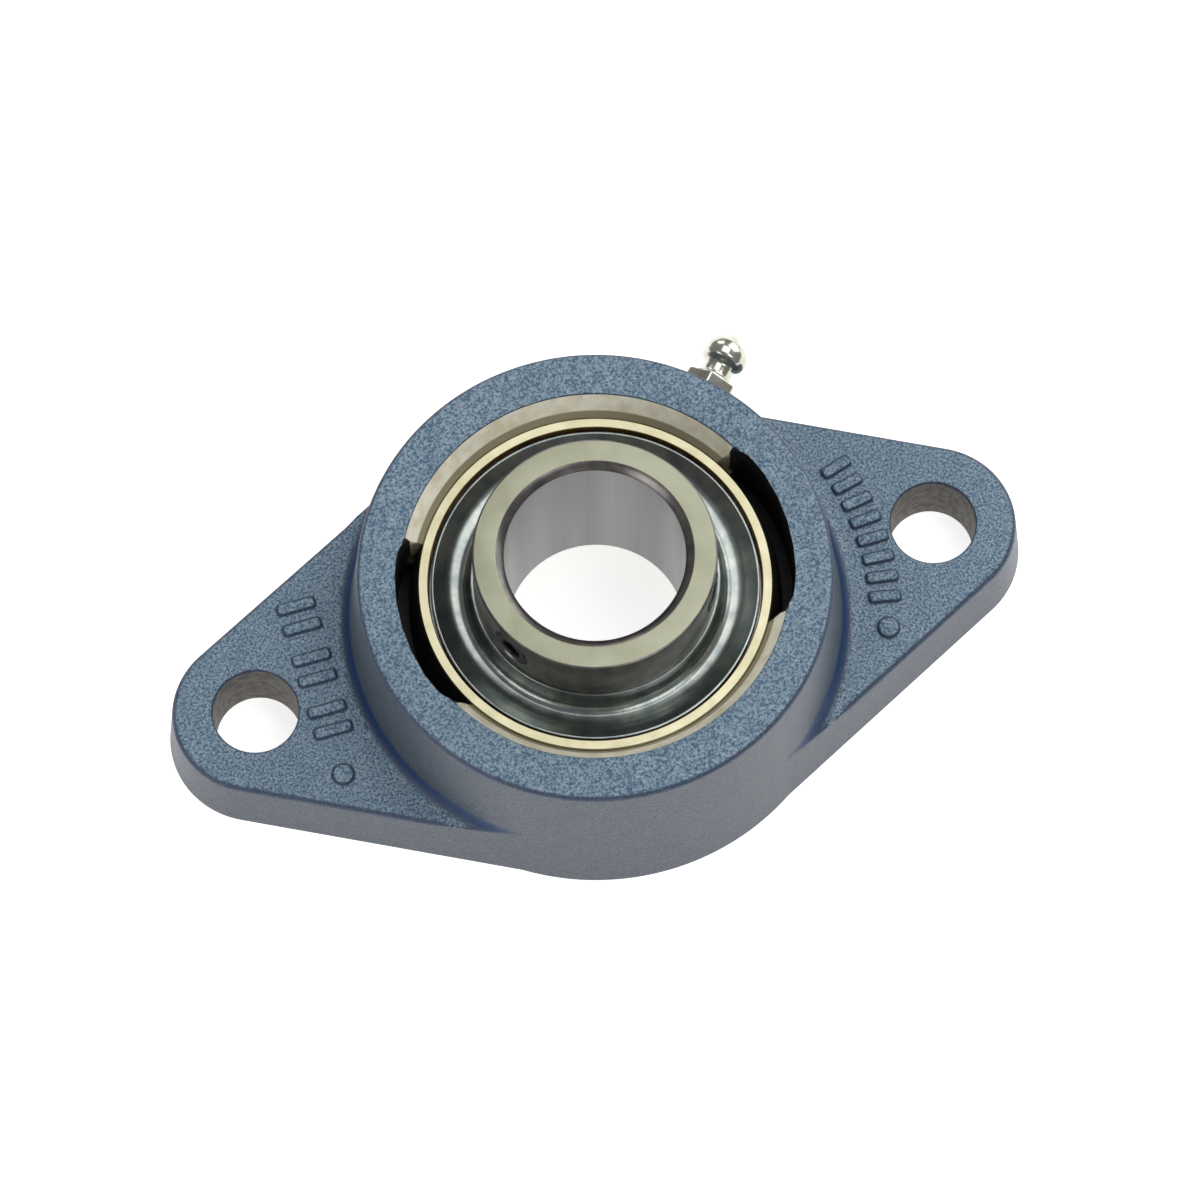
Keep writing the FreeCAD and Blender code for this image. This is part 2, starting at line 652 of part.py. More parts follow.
def make_nipple():
    """Screwed-in nipple: hexagon, neck and cone-tipped head, with a check ball on a spring."""
    shell = new_body("grease_nipple_body")
    place_on_nipple_axis(shell, "sizes.spotface_distance")
    wall = "sizes.nipple_bore_radius"
    shank = "sizes.thread_radius - 0.02"
    head = "sizes.nipple_head_radius"
    revolved(shell, "turned_blank", [
        (wall, "-sizes.thread_depth + 0.5"),
        (shank, "-sizes.thread_depth + 0.5"),
        (shank, "0"),
        ("sizes.nipple_collar_radius", "0"),
        ("sizes.nipple_collar_radius", "sizes.hex_height"),
        ("sizes.nipple_neck_radius + 0.1", "sizes.hex_height + 0.5"),
        ("sizes.nipple_neck_radius", "sizes.hex_height + 2.2"),
        (f"{head} - 0.3", "sizes.hex_height + 2.9"),
        (head, "sizes.hex_height + 3.4"),
        (head, "sizes.hex_height + 4.6"),
        (f"{head} - 0.45", "sizes.hex_height + 5.6"),
        ("sizes.nipple_tip_radius", "sizes.hex_height + 6.9"),
        ("sizes.nipple_hole_radius", "sizes.hex_height + 6.9"),
        ("sizes.nipple_hole_radius", "sizes.hex_height + 6.2"),
        (wall, "sizes.hex_height + 5.4"),
    ])
    flats = new_sketch(shell, "hex_outline", "XY_Plane")
    six_sides(flats, "sizes.hex_radius")
    flats.addGeometry(Part.Circle(FreeCAD.Vector(0, 0, 0), DIRECTION_Z, 3), False)
    flats.addConstraint(Sketcher.Constraint("Coincident", 6, 3, -1, 1))
    bind(flats, "Radius", (6, 3), "3")
    hexagon = shell.newObject("PartDesign::Pad", "hexagon")
    hexagon.Profile = flats
    hexagon.setExpression("Length", "sizes.hex_height")
    shell.Tip = hexagon
    doc.recompute()

    check = doc.addObject("Part::Sphere", "nipple_check_ball")
    check.Label = "nipple_check_ball"
    check.setExpression("Radius", "sizes.check_ball_radius")
    place_on_nipple_axis(check, "sizes.spotface_distance + sizes.hex_height + 4.95")
    pieces.append(check)

    spring = new_body("nipple_spring")
    place_on_nipple_axis(spring, "sizes.spotface_distance - 3.4")
    wire = new_sketch(spring, "wire_profile", "XZ_Plane")
    spot = FreeCAD.Vector(size("spring_coil_radius"), 0, 0)
    wire.addGeometry(Part.Circle(spot, DIRECTION_Z, size("spring_wire_radius")), False)
    bind(wire, "DistanceX", (-1, 1, 0, 3, spot.x), "sizes.spring_coil_radius")
    bind(wire, "Radius", (0, size("spring_wire_radius")), "sizes.spring_wire_radius")
    wire.addConstraint(Sketcher.Constraint("PointOnObject", 0, 3, -1))
    coil = spring.newObject("PartDesign::AdditiveHelix", "coil")
    coil.Profile = wire
    coil.ReferenceAxis = (wire, ["V_Axis"])
    coil.Mode = 0
    coil.setExpression("Pitch", "sizes.spring_pitch")
    coil.setExpression("Height", "sizes.spring_height")
    spring.Tip = coil
    doc.recompute()


make_housing()
make_outer_ring()
for side_name, side_sign in (("front", 1), ("rear", -1)):
    make_seal(side_name, side_sign)
make_inner_ring()
make_flinger("front", 1)
make_flinger("rear", -1)
for screw_number, screw_angle in enumerate(GRUB_ANGLES, start=1):
    make_grub_screw(screw_number, screw_angle)
make_cage()
make_balls()
make_nipple()
doc.recompute()

# ---------------------------------------------------------------- checks and export
for item in doc.Objects:
    if "Invalid" in item.State or "Error" in item.State:
        raise RuntimeError(f"{item.Name} is not up to date: {item.State}")
os.makedirs("parts", exist_ok=True)
for piece in pieces:
    if piece.Shape.isNull() or not piece.Shape.isValid():
        raise RuntimeError(f"{piece.Label} has no valid shape")
    piece.Shape.exportStep(f"parts/{piece.Label}.step")
    print(f"{piece.Label}: {len(piece.Shape.Solids)} solid, {piece.Shape.Volume:.1f} mm3")
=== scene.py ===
import math

import bmesh
import bpy
from mathutils import Matrix, Vector


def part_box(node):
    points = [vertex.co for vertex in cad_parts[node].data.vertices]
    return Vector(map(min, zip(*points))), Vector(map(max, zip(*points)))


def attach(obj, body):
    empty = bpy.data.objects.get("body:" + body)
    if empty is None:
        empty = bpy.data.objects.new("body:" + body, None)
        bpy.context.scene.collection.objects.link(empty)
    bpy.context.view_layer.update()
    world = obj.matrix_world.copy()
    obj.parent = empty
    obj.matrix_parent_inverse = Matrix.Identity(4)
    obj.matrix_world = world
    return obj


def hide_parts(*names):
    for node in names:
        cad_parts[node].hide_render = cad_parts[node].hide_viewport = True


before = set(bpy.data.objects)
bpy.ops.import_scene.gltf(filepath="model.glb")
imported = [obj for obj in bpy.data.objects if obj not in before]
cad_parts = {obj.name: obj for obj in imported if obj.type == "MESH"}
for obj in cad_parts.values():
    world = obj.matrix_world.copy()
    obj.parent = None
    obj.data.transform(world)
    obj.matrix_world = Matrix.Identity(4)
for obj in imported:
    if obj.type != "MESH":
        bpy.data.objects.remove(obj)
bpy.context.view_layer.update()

# ------------------------------------------------------------------ housing
# Grey cast iron, sand cast with five degrees of draft and sprayed with a granular blue enamel.
# The oval flange and the round hub are one casting. The seat, the two filling slots, the bolt
# holes and the nipple's spot face are machined afterwards, so they show bare iron.

mm = 0.001
box_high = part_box("housing")[1]
housing_top = box_high[2]
bolt_spacing = 99.0 * mm
bolt_hole_radius = 6.0 * mm
ear_radius = box_high[0] - bolt_spacing / 2
hub_radius = box_high[1]
waist_radius = hub_radius - 0.2 * mm
flange_top = 11.0 * mm
draft = math.tan(math.radians(5.0))
cove_radius = 2.5 * mm
cove_top = flange_top + cove_radius
top_rounding = 0.9 * mm
foot_rounding = 0.4 * mm
ball_centre = 15.9 * mm
seat_radius = 26.03 * mm
seat_half_width = 8.3 * mm
flare_foot = (25.35 * mm, 25.3 * mm)
flare_radius = 26.85 * mm
relief_radius = 27.5 * mm
relief_depth = 3.0 * mm
slot_radius = 27.7 * mm
slot_half_width = 12.4 * mm
slot_corner = 2.6 * mm
nipple_angle = math.radians(47.0)
nipple_height = 18.0 * mm
spot_face = 33.3 * mm
spot_radius = 4.6 * mm
duct_radius = 1.25 * mm
nipple_hole = 3.0 * mm
nipple_hole_floor = 27.7 * mm
sliver = 0.003 * mm


def outline(angle, inset):
    """Distance from the bearing's axis to the flange's outline, drawn in by an inset."""
    across, along = abs(math.cos(angle)), abs(math.sin(angle))
    turn = math.atan2(along, across)
    half = bolt_spacing / 2
    ear, waist = ear_radius - inset, waist_radius - inset
    tangent = math.acos((waist_radius - ear_radius) / half)
    ear_end = math.atan2(ear * math.sin(tangent), half + ear * math.cos(tangent))
    if turn >= tangent:
        return waist
    if turn <= ear_end:
        return half * across + math.sqrt(ear ** 2 - (half * along) ** 2)
    return waist / math.cos(tangent - turn)


def hub_wall(height):
    """Radius of the hub's drafted wall at a height."""
    return hub_radius - height * draft


def casting_edge(angle, height, inset):
    """Radius of the casting's side at a height, where the flange and the hub are one outline."""
    return max(outline(angle, height * draft + inset), hub_wall(height) - inset)


def housing_section(angle):
    """Closed section at one angle: foot, flange side, ear top, cove, hub, flare, seat, relief."""
    points = []
    for step in range(5):
        turn = math.radians(22.5 * step)
        height = foot_rounding * (1 - math.cos(turn))
        points.append((casting_edge(angle, height, foot_rounding * (1 - math.sin(turn))), height))
    cove_middle = hub_wall(flange_top) + cove_radius
    sharp = outline(angle, flange_top * draft)
    rounding = min(max(sharp - cove_middle, 0.0), top_rounding)
    side = flange_top - rounding - foot_rounding
    for step in range(1, 7):
        height = foot_rounding + side * step / 6
        points.append((casting_edge(angle, height, 0), height))
    for step in range(1, 6):
        turn = math.radians(18 * step)
        height = flange_top - rounding * (1 - math.sin(turn))
        points.append((casting_edge(angle, height, rounding * (1 - math.cos(turn))), height))
    outer = points[-1][0]
    for step in range(1, 8):
        inner = outer + (cove_middle - outer) * step / 7
        points.append((min(outer, inner), flange_top))
    for step in range(1, 11):
        height = flange_top + cove_radius * (1 - math.cos(math.radians(9 * step)))
        cove = cove_middle - math.sqrt(max(cove_radius ** 2 - (cove_top - height) ** 2, 0))
        side = outline(angle, height * draft)
        mix = max(0.5 * mm - abs(side - cove), 0.0)
        points.append((max(min(side, cove) - mix * mix / (2 * mm), hub_wall(height)), height))
    for step in range(1, 4):
        height = cove_top + (housing_top - top_rounding - cove_top) * step / 3
        points.append((hub_wall(height), height))
    shoulder = hub_wall(housing_top - top_rounding) - top_rounding
    for step in range(1, 7):
        turn = math.radians(15 * step)
        points.append((shoulder + top_rounding * math.cos(turn),
                       housing_top - top_rounding * (1 - math.sin(turn))))
    points += [(0.5 * (shoulder + flare_radius), housing_top),
               (flare_radius + 0.25 * mm, housing_top),
               (flare_radius + 0.07 * mm, housing_top - 0.06 * mm),
               (flare_radius - 0.02 * mm, housing_top - 0.25 * mm), flare_foot]
    groove_low, groove_high = 18.1 * mm, 21.1 * mm
    groove_floor = 26.9 * mm
    span = [groove_high, groove_low]
    heights = [ball_centre + seat_half_width * (1 - step / 12) for step in range(25)]
    for height in heights:
        if not groove_low < height < groove_high:
            points.append((math.sqrt(seat_radius ** 2 - (height - ball_centre) ** 2), height))
        elif span:
            for level in span:
                lip = math.sqrt(seat_radius ** 2 - (level - ball_centre) ** 2)
                pair = [(lip, level), (groove_floor, level)]
                points += pair if level == groove_high else reversed(pair)
            span = []
    points += [(relief_radius, relief_depth), (relief_radius, 0.4 * mm), (relief_radius + 0.4 * mm, 0)]
    return points


def revolve(section, steps, where=Matrix.Identity(4)):
    """Closed solid round Z. The section is a list of (radius, height), or a function of the angle."""
    solid = bmesh.new()
    rows = []
    for step in range(steps):
        angle = math.tau * step / steps
        profile = section(angle) if callable(section) else section
        rows.append([solid.verts.new((reach * math.cos(angle), reach * math.sin(angle), height))
                     for reach, height in profile])
    for step, here in enumerate(rows):
        there = rows[(step + 1) % steps]
        for place in range(len(here)):
            after = (place + 1) % len(here)
            solid.faces.new((here[place], there[place], there[after], here[after]))
    bmesh.ops.remove_doubles(solid, verts=solid.verts, dist=1e-7)
    loose = [edge for edge in solid.edges if not edge.link_faces]
    bmesh.ops.delete(solid, geom=loose, context="EDGES")
    bmesh.ops.transform(solid, matrix=where, verts=solid.verts)
    bmesh.ops.recalc_face_normals(solid, faces=solid.faces)
    return solid


def facing_out(angle, reach, height):
    """Placement whose Z axis points straight out from the bearing's axis."""
    return (Matrix.Rotation(angle, 4, "Z") @ Matrix.Translation((reach, 0, height))
            @ Matrix.Rotation(math.pi / 2, 4, "Y"))


def rounded(corners, steps=5):
    """Outline with each corner (x, y, rounding) turned into a short curve."""
    points = []
    for index, (x, y, rounding) in enumerate(corners):
        here = Vector((x, y))
        start = here + (Vector(corners[index - 1][:2]) - here).normalized() * rounding
        end = here + (Vector(corners[(index + 1) % len(corners)][:2]) - here).normalized() * rounding
        for step in range(steps + 1 if rounding else 1):
            part = step / steps
            spot = start * (1 - part) ** 2 + here * 2 * part * (1 - part) + end * part * part
            points.append((spot.x, spot.y))
    return points


def prism(rings, where=Matrix.Identity(4)):
    """Closed solid skinned through level outlines, each a (height, list of (x, y)), bottom first."""
    solid = bmesh.new()
    rows = [[solid.verts.new((x, y, height)) for x, y in points] for height, points in rings]
    for here, there in zip(rows, rows[1:]):
        for place in range(len(here)):
            after = (place + 1) % len(here)
            solid.faces.new((here[place], here[after], there[after], there[place]))
    solid.faces.new(rows[0])
    solid.faces.new(rows[-1])
    bmesh.ops.transform(solid, matrix=where, verts=solid.verts)
    bmesh.ops.recalc_face_normals(solid, faces=solid.faces)
    return solid


def as_mesh(solid, name):
    """Mesh that holds a bmesh's faces; the bmesh is used up."""
    mesh = bpy.data.meshes.new(name)
    solid.to_mesh(mesh)
    solid.free()
    return mesh


def loose_object(solid, name):
    """Object at the origin that holds a bmesh's faces."""
    made = bpy.data.objects.new(name, as_mesh(solid, name))
    bpy.context.scene.collection.objects.link(made)
    return made


def carved(target, tools):
    """Mesh left after exact booleans, its slivers merged; tools are (closed bmesh, operation)."""
    blank = loose_object(target, "blank")
    cutters = []
    for solid, operation in tools:
        cutter = loose_object(solid, "cutter")
        cutters.append(cutter)
        cut = blank.modifiers.new("cut", "BOOLEAN")
        cut.operation = operation
        cut.solver = "EXACT"
        cut.object = cutter
    bpy.context.view_layer.update()
    ready = blank.evaluated_get(bpy.context.evaluated_depsgraph_get())
    mesh = bpy.data.meshes.new_from_object(ready)
    for item in [blank, *cutters]:
        old = item.data
        bpy.data.objects.remove(item)
        bpy.data.meshes.remove(old)
    clean = bmesh.new()
    clean.from_mesh(mesh)
    bmesh.ops.remove_doubles(clean, verts=clean.verts, dist=sliver)
    bmesh.ops.dissolve_degenerate(clean, edges=clean.edges, dist=sliver)
    clean.to_mesh(mesh)
    clean.free()
    return mesh


def finished(mesh, name, materials, body, node, sharp=35):
    """Name a mesh, shade it with even normals, and let it stand for a CAD node on its body."""
    mesh.name = name
    for material in materials:
        mesh.materials.append(material)
    mesh.shade_smooth()
    mesh.set_sharp_from_angle(angle=math.radians(sharp))
    piece = bpy.data.objects.new(name, mesh)
    bpy.context.scene.collection.objects.link(piece)
    piece.modifiers.new("even", "WEIGHTED_NORMAL").keep_sharp = True
    bpy.context.view_layer.update()
    ready = piece.evaluated_get(bpy.context.evaluated_depsgraph_get())
    piece.data = bpy.data.meshes.new_from_object(ready)
    piece.modifiers.clear()
    piece.data.name = name
    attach(piece, body)
    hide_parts(node)


def colour(code):
    """Linear colour of an sRGB hex code."""
    parts = [int(code[place:place + 2], 16) / 255 for place in (1, 3, 5)]
    return [part / 12.92 if part < 0.04045 else ((part + 0.055) / 1.055) ** 2.4
            for part in parts] + [1.0]


def add(tree, kind, inputs=None, stops=None, **settings):
    """Add a node. Inputs are values or links by socket; stops are a colour ramp's (place, shade)."""
    node = tree.nodes.new(kind)
    for key, value in settings.items():
        setattr(node, key, value)
    for key, value in (inputs or {}).items():
        if isinstance(value, bpy.types.NodeSocket):
            tree.links.new(value, node.inputs[key])
        else:
            node.inputs[key].default_value = value
    if stops:
        band = node.color_ramp.elements
        band.remove(band[1])
        band[0].position = stops[0][0]
        band[0].color = colour(stops[0][1])
        for place, shade in stops[1:]:
            band.new(place).color = colour(shade)
    return node


def empty_material(name):
    """A new material with no nodes, and its node tree."""
    made = bpy.data.materials.new(name)
    made.use_nodes = True
    made.node_tree.nodes.clear()
    return made, made.node_tree


def mottled(name, scale, stops, roughness, metallic=0.0, detail=3.0, relief=None, more=None):
    """Material that wanders softly between shades; relief is a bump's (strength, depth)."""
    made, tree = empty_material(name)
    place = add(tree, "ShaderNodeTexCoord")
    noise = add(tree, "ShaderNodeTexNoise", {"Vector": place.outputs["Object"], "Scale": scale,
                                             "Detail": detail})
    tint = add(tree, "ShaderNodeValToRGB", {0: noise.outputs[0]}, stops)
    surface = {"Base Color": tint.outputs[0], "Roughness": roughness, "Metallic": metallic}
    surface.update(more or {})
    if relief:
        bump = add(tree, "ShaderNodeBump", {"Height": noise.outputs[0], "Strength": relief[0],
                                            "Distance": relief[1]})
        surface["Normal"] = bump.outputs[0]
    shader = add(tree, "ShaderNodeBsdfPrincipled", surface)
    add(tree, "ShaderNodeOutputMaterial", {0: shader.outputs[0]})
    return made


# granular enamel on mid blue: its grains are painted pale at their peaks and dark in their hollows, partly
# the paint's own grain and partly painted highlight and shade; the steep sides take a darker, plainer copy,
# painted shade. Painted shade also darkens the cove, and a little the sloped sides of the marks and the
# rims.
blue_enamel, tree = empty_material("blue_enamel_on_cast_iron")
place = add(tree, "ShaderNodeTexCoord")
grain = add(tree, "ShaderNodeTexNoise", {"Vector": place.outputs["Object"], "Scale": 2900.0,
                                         "Detail": 2.0, "Roughness": 0.6})
patch = add(tree, "ShaderNodeTexNoise", {"Vector": place.outputs["Object"], "Scale": 420.0,
                                         "Detail": 3.0, "Roughness": 0.6})
facing = add(tree, "ShaderNodeSeparateXYZ",
             {0: add(tree, "ShaderNodeNewGeometry").outputs["Normal"]})
level = add(tree, "ShaderNodeMapRange", {"Value": facing.outputs[2], "From Min": 0.80, "From Max": 0.97})
speck = add(tree, "ShaderNodeMapRange", {"Value": grain.outputs[0], "From Min": 0.38, "From Max": 0.64})
cover = add(tree, "ShaderNodeMapRange", {"Value": patch.outputs[0], "From Min": 0.30, "From Max": 0.62,
                                         "To Min": 0.75, "To Max": 1.0})
grains = add(tree, "ShaderNodeMath", {0: speck.outputs[0], 1: cover.outputs[0]}, operation="MULTIPLY")
# painted light and shade: the tops take this lighter copy of the paint and the steep sides the darker one
lit_top_paint = add(tree, "ShaderNodeMix", {0: grains.outputs[0], 6: colour("#38566F"), 7: colour("#8C9EAA")},
                data_type="RGBA")
shaded_side_paint = add(tree, "ShaderNodeMix", {0: grains.outputs[0], 6: colour("#333D49"), 7: colour("#515860")},
                 data_type="RGBA")
paint = add(tree, "ShaderNodeMix", {0: level.outputs[0], 6: shaded_side_paint.outputs[2], 7: lit_top_paint.outputs[2]},
            data_type="RGBA")
# painted shade: sloped faces in the cove, and a little on the marks and the rims, are mixed towards dark
# navy
rise = add(tree, "ShaderNodeMapRange", {"Value": facing.outputs[2], "From Min": 0.12, "From Max": 0.35})
fall = add(tree, "ShaderNodeMapRange", {"Value": facing.outputs[2], "From Min": 0.95, "From Max": 0.75})
edge = add(tree, "ShaderNodeMath", {0: rise.outputs[0], 1: fall.outputs[0]}, operation="MULTIPLY")
height = add(tree, "ShaderNodeSeparateXYZ", {0: place.outputs["Object"]})
above_marks = add(tree, "ShaderNodeMapRange", {
    "Value": height.outputs[2], "From Min": flange_top + 0.35 * mm, "From Max": flange_top + 0.9 * mm,
    "To Min": 0.45, "To Max": 1.0})
below_rim = add(tree, "ShaderNodeMapRange", {
    "Value": height.outputs[2], "From Min": cove_top + 2 * mm, "From Max": cove_top + 10 * mm,
    "To Min": 1.0, "To Max": 0.45})
in_cove = add(tree, "ShaderNodeMath", {0: above_marks.outputs[0], 1: below_rim.outputs[0]},
              operation="MULTIPLY")
shade_mask = add(tree, "ShaderNodeMath", {0: edge.outputs[0], 1: in_cove.outputs[0]}, operation="MULTIPLY")
shaded_enamel = add(tree, "ShaderNodeMix", {0: shade_mask.outputs[0], 6: paint.outputs[2], 7: colour("#173258")},
             data_type="RGBA")
bump = add(tree, "ShaderNodeBump", {"Height": grain.outputs[0], "Strength": 0.5, "Distance": 0.0002})
shader = add(tree, "ShaderNodeBsdfPrincipled", {"Base Color": shaded_enamel.outputs[2], "Roughness": 0.42,
                                                "Specular IOR Level": 0.3,
                                                "Normal": bump.outputs[0]})
add(tree, "ShaderNodeOutputMaterial", {0: shader.outputs[0]})

# bare machined iron, warm where the rust preventive has dried on it
machined_iron, tree = empty_material("machined_cast_iron")
place = add(tree, "ShaderNodeTexCoord")
split = add(tree, "ShaderNodeSeparateXYZ", {0: place.outputs["Object"]})
lines = add(tree, "ShaderNodeTexNoise", {"Vector": add(tree, "ShaderNodeCombineXYZ", {
    2: split.outputs[2]}).outputs[0], "Scale": 9000.0, "Detail": 1.0})
stain = add(tree, "ShaderNodeTexNoise", {"Vector": place.outputs["Object"], "Scale": 420.0, "Detail": 3.0})
tint = add(tree, "ShaderNodeValToRGB", {0: stain.outputs[0]},
           [(0.35, "#E4DCBE"), (0.6, "#F8F4E2")])
# painted shade: the seat below the flare's foot, deeper in and overhanging, is painted a darker brown
deep = add(tree, "ShaderNodeMapRange", {"Value": split.outputs[2], "From Min": flare_foot[1] + 0.1 * mm,
                                        "From Max": flare_foot[1] - 0.1 * mm})
seat_with_shade = add(tree, "ShaderNodeMix", {0: deep.outputs[0], 6: tint.outputs[0], 7: colour("#9A9279")},
            data_type="RGBA")
bump = add(tree, "ShaderNodeBump", {"Height": lines.outputs[0], "Strength": 0.15, "Distance": 0.00005})
shader = add(tree, "ShaderNodeBsdfPrincipled", {"Base Color": seat_with_shade.outputs[2], "Metallic": 0.1,
                                                "Roughness": 0.4, "Normal": bump.outputs[0]})
add(tree, "ShaderNodeOutputMaterial", {0: shader.outputs[0]})

# the rough, dark iron of the drilled bolt holes
drilled_iron = mottled("drilled_cast_iron", 900.0, [(0.35, "#443F3B"), (0.65, "#6D6962")],
                       0.55, 0.5, relief=(0.4, 0.0001))

# painted shade: the oily iron inside the slots is made black, as the light hardly reaches there
slot_iron = mottled("slot_shade_iron", 700.0, [(0.4, "#1F1F21"), (0.7, "#2C2C2B")], 0.5,
                    more={"Specular IOR Level": 0.15})

swing = math.asin(slot_half_width / slot_radius)
slot_corners = []
for turn in (0, math.pi):
    ends = [-swing] + [swing * share for share in (-0.6, -0.3, 0.0, 0.3, 0.6)] + [swing]
    for angle in ends:
        rounding = slot_corner if abs(angle) == swing else 0.0
        slot_corners.append((slot_radius * math.cos(angle + turn), slot_radius * math.sin(angle + turn),
                             rounding))
slot_plan = rounded(slot_corners)
cuts = [(prism([(ball_centre, slot_plan), (housing_top + 1 * mm, slot_plan)]), "DIFFERENCE")]
rim = 0.35 * mm
hole_turn = 0.03  # keeps the holes' own edges off the casting's rows of points
hole_side = [(0.0, -1 * mm), (bolt_hole_radius, -1 * mm)]
for step in range(6):
    turn = math.radians(16 * step)
    hole_side.append((bolt_hole_radius + rim * (1 - math.cos(turn)),
                      flange_top - rim * (1 - math.sin(turn))))
hole_side += [(bolt_hole_radius + rim, flange_top + 1 * mm), (0.0, flange_top + 1 * mm)]
for side in (1, -1):
    spot = Matrix.Translation((side * bolt_spacing / 2, 0, 0)) @ Matrix.Rotation(hole_turn, 4, "Z")
    cuts.append((revolve(hole_side, 96, spot), "DIFFERENCE"))
nipple_place = facing_out(nipple_angle, 0, nipple_height)
drill = [(0, 24 * mm), (duct_radius, 24 * mm), (duct_radius, nipple_hole_floor),
         (nipple_hole, nipple_hole_floor), (nipple_hole, spot_face), (spot_radius, spot_face),
         (spot_radius, spot_face + 5 * mm), (0, spot_face + 5 * mm)]
cuts.append((revolve(drill, 72, nipple_place), "DIFFERENCE"))


# ------------------------------------------------------------------ cast marks
# Plain raised bars and dots that stand half a millimetre above the ears, cast with the flange
# and painted with it. They stand for the foundry's marks and spell nothing.

mark_width = 1.6 * mm
bar_distance = 39.9 * mm
bar_length = 5.4 * mm
first_bar = 13.4 * mm
pair_step = 8.0 * mm
bar_gap = 3.2 * mm
dash_distance = 40.6 * mm
dash_length = 4.4 * mm
dash_angles = [math.radians(17.0 - 4.2 * index) for index in range(8)]
dot_radius = 1.5 * mm

# (height above the ear, inset from the mark's outline) in mm, from the root up to the flat top
mark_levels = ((-0.6, -0.31), (0.012, -0.3), (0.05, -0.16), (0.16, -0.04), (0.32, 0.03), (0.44, 0.14),
               (0.5, 0.38))


def cast_bar(x, y, length, angle):
    """Raised bar with a soft foot and a rounded top edge, turned in plan, rooted in the flange."""
    rings = []
    for height, inset in mark_levels:
        half, across = length / 2 - inset * mm, mark_width / 2 - inset * mm
        corner = (0.5 - 0.5 * inset) * mm
        plan = rounded([(-half, -across, corner), (half, -across, corner),
                        (half, across, corner), (-half, across, corner)], 4)
        rings.append((flange_top + height * mm, plan))
    return prism(rings, Matrix.Translation((x, y, 0)) @ Matrix.Rotation(angle, 4, "Z"))


def cast_dot(x, y):
    """Raised round dot with the same edges."""
    side = [(dot_radius - inset * mm, flange_top + height * mm) for height, inset in mark_levels]
    side = [(0, side[0][1]), *side, (0, side[-1][1])]
    return revolve(side, 48, Matrix.Translation((x, y, 0)))


for index in range(6):
    pair, second = divmod(index, 2)
    level = first_bar - pair_step * pair - bar_gap * second
    cuts.append((cast_bar(-bar_distance, level, bar_length, 0.0), "UNION"))
for angle in dash_angles:
    cuts.append((cast_bar(dash_distance * math.cos(angle), dash_distance * math.sin(angle),
                          dash_length, angle), "UNION"))
cuts.append((cast_dot(-40.3 * mm, -12.5 * mm), "UNION"))
cuts.append((cast_dot(38.8 * mm, -13.3 * mm), "UNION"))

shell = carved(revolve(housing_section, 600), cuts)
painted, machined, drilled, slot_shade = range(4)
spot_edge = 4.65 * mm
for face in shell.polygons:
    middle = face.center
    reach = math.hypot(middle.x, middle.y)
    hole = math.hypot(abs(middle.x) - bolt_spacing / 2, middle.y)
    along = middle.x * math.cos(nipple_angle) + middle.y * math.sin(nipple_angle)
    aside = math.hypot(middle.y * math.cos(nipple_angle) - middle.x * math.sin(nipple_angle),
                       middle.z - nipple_height)
    in_slot = reach < slot_radius + 0.01 * mm and abs(middle.y) < slot_half_width + 0.01 * mm
    if hole < bolt_hole_radius + 0.03 * mm:
        face.material_index = drilled
    elif along > 0 and aside < spot_edge and reach < spot_face + 1.2 * mm and reach > 27 * mm:
        face.material_index = machined
    # painted shade: the faces down in the slots take the black slot iron
    elif in_slot and middle.z > ball_centre - 0.01 * mm and abs(middle.x) > 20 * mm \
            and (reach > seat_radius + 0.05 * mm or face.normal.z > 0.9):
        face.material_index = slot_shade
    elif reach < flare_radius + 0.02 * mm or middle.z < 0.01 * mm:
        face.material_index = machined
    else:
        face.material_index = painted
finished(shell, "housing_shell", [blue_enamel, machined_iron, drilled_iron, slot_iron],
         "housing_group", "housing")


# ------------------------------------------------------------------ outer ring
# Through-hardened bearing steel, ground: a spherical outside that tips in the seat, a race for the
# balls inside, and stepped lands for the seals. The flat face is the bright ring round the flinger.

ring_half_width = 8.5 * mm
sphere_radius = 26.0 * mm
land_radius = 23.15 * mm
shoulder_radius = 22.0 * mm
land_depth = 3.6 * mm
race_radius = 4.02 * mm
pitch_radius = 19.4 * mm


def race(toward, steps=14):
    """Arc of the ball race between two heights above and below the ball circle, towards +1 or -1."""
    reach = math.acos(min(1.0, abs(toward) / race_radius))
    sign = 1 if toward > 0 else -1
    return [(pitch_radius + sign * race_radius * math.cos(reach * (1 - 2 * step / steps)),
             ball_centre + race_radius * math.sin(reach * (1 - 2 * step / steps)))
            for step in range(steps + 1)]


face_edge = math.sqrt(sphere_radius ** 2 - ring_half_width ** 2)
high, low = ball_centre + ring_half_width, ball_centre - ring_half_width
tip = math.asin((ring_half_width - 0.15 * mm) / sphere_radius)
outer_section = [(face_edge - 0.15 * mm, high)]
outer_section += [(sphere_radius * math.cos(tip * (1 - 2 * step / 24)),
                   ball_centre + sphere_radius * math.sin(tip * (1 - 2 * step / 24)))
                  for step in range(25)]
outer_section += [(face_edge - 0.15 * mm, low), (land_radius + 0.12 * mm, low),
                  (land_radius, low + 0.12 * mm), (land_radius, low + land_depth),
                  (shoulder_radius, low + land_depth)]
outer_section += reversed(race(shoulder_radius - pitch_radius))
outer_section += [(shoulder_radius, high - land_depth), (land_radius, high - land_depth),
                  (land_radius, high - 0.12 * mm), (land_radius + 0.12 * mm, high)]

